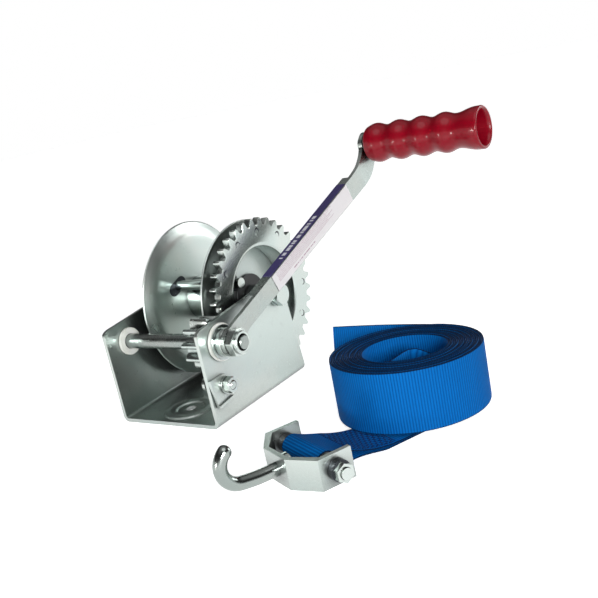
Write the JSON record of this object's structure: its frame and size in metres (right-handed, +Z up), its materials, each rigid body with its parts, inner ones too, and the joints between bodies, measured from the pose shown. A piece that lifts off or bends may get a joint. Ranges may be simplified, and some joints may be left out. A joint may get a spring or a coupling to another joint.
{
  "type": "boat trailer hand winch",
  "caption": "Hand winch on a bent steel base: flanged drum with ring gear, pinion crank with swelled grip, pawl lever, and a rolled strap with swivel hook.",
  "frame": {"origin": "middle of the underside of the base plate", "axes": "+X along the shafts towards the crank, +Y from the open front to the drum, +Z up"},
  "size_m": [0.3463, 0.3979, 0.2165],
  "materials": {
    "zinc_plate": "bright zinc plating",
    "dark_steel": "blackened steel",
    "nylon": "white moulded nylon",
    "red_plastic": "glossy moulded plastic",
    "label_white": "printed film",
    "label_violet": "printed film",
    "webbing": "woven polyester webbing"
  },
  "bodies": {
    "frame": {"frame": "zinc_plate", "axle_bolt": "zinc_plate", "axle_washer": "zinc_plate", "axle_nut": "zinc_plate", "axle_spacer_right": "zinc_plate", "axle_spacer_left": "zinc_plate", "shaft_bush_near": "nylon", "shaft_bush_far": "nylon"},
    "drum": {"drum_flange_left": "zinc_plate", "drum_flange_right": "zinc_plate", "drum_hub": "zinc_plate", "hub_bush_left": "nylon", "hub_bush_right": "nylon", "drum_gear": "zinc_plate", "gear_rivet_1": "zinc_plate", "gear_rivet_2": "zinc_plate", "gear_rivet_3": "zinc_plate", "gear_rivet_4": "zinc_plate", "gear_rivet_5": "zinc_plate", "gear_rivet_6": "zinc_plate", "anchor_bolt": "zinc_plate", "anchor_nut": "dark_steel"},
    "crank": {"crank_shaft": "zinc_plate", "pinion": "zinc_plate", "shaft_washer_near": "zinc_plate", "shaft_washer_far": "zinc_plate", "shaft_clip": "dark_steel", "crank_spacer": "zinc_plate", "crank_nut": "zinc_plate", "crank_arm": "zinc_plate", "label_field": "label_white", "label_band": "label_violet", "grip_spindle": "zinc_plate", "spindle_collar": "zinc_plate", "grip_washer": "zinc_plate", "grip_nut": "zinc_plate"},
    "grip": {"grip": "red_plastic"},
    "pawl": {"pawl": "dark_steel", "pawl_lever": "zinc_plate", "pawl_bolt": "zinc_plate", "pawl_washer": "zinc_plate", "pawl_nut": "zinc_plate", "pawl_spring": "dark_steel"},
    "strap": {"strap_roll": "webbing", "strap_tail": "webbing", "strap_run": "webbing", "clevis_sleeve": "nylon"},
    "bracket": {"hook_bracket": "zinc_plate", "clevis_bolt": "zinc_plate", "clevis_washer": "dark_steel", "clevis_nut": "zinc_plate"},
    "hook": {"hook": "zinc_plate", "hook_collar": "zinc_plate"}
  },
  "joints": [
    {"name": "drum_spin", "type": "hinge", "parent": "frame", "child": "drum", "pos_m": [0, 0.0475, 0.085], "axis": [1, 0, 0], "continuous": true},
    {"name": "crank_spin", "type": "hinge", "parent": "frame", "child": "crank", "pos_m": [0, -0.04234, 0.0715], "axis": [1, 0, 0], "continuous": true},
    {"name": "grip_spin", "type": "hinge", "parent": "crank", "child": "grip", "pos_m": [0.166, 0.19484, 0.19608], "axis": [1, 0, 0], "continuous": true},
    {"name": "pawl_turn", "type": "hinge", "parent": "frame", "child": "pawl", "pos_m": [0.053, -0.051, 0.0352], "axis": [1, 0, 0], "range_deg": [-25, 5]},
    {"name": "strap_lift", "type": "slide", "parent": "frame", "child": "strap", "axis": [0, 0, 1], "range_m": [0, 0.25]},
    {"name": "bracket_turn", "type": "hinge", "parent": "strap", "child": "bracket", "pos_m": [0.186, -0.114, 0.012], "axis": [-0.9063, 0.4226, 0], "range_deg": [-80, 80]},
    {"name": "hook_swivel", "type": "hinge", "parent": "bracket", "child": "hook", "pos_m": [0.17586, -0.13575, 0.012], "axis": [-0.4226, -0.9063, 0], "continuous": true}
  ],
  "couplings": [
    {"joint": "crank_spin", "follows": "drum_spin", "ratio": -3.6}
  ]
}
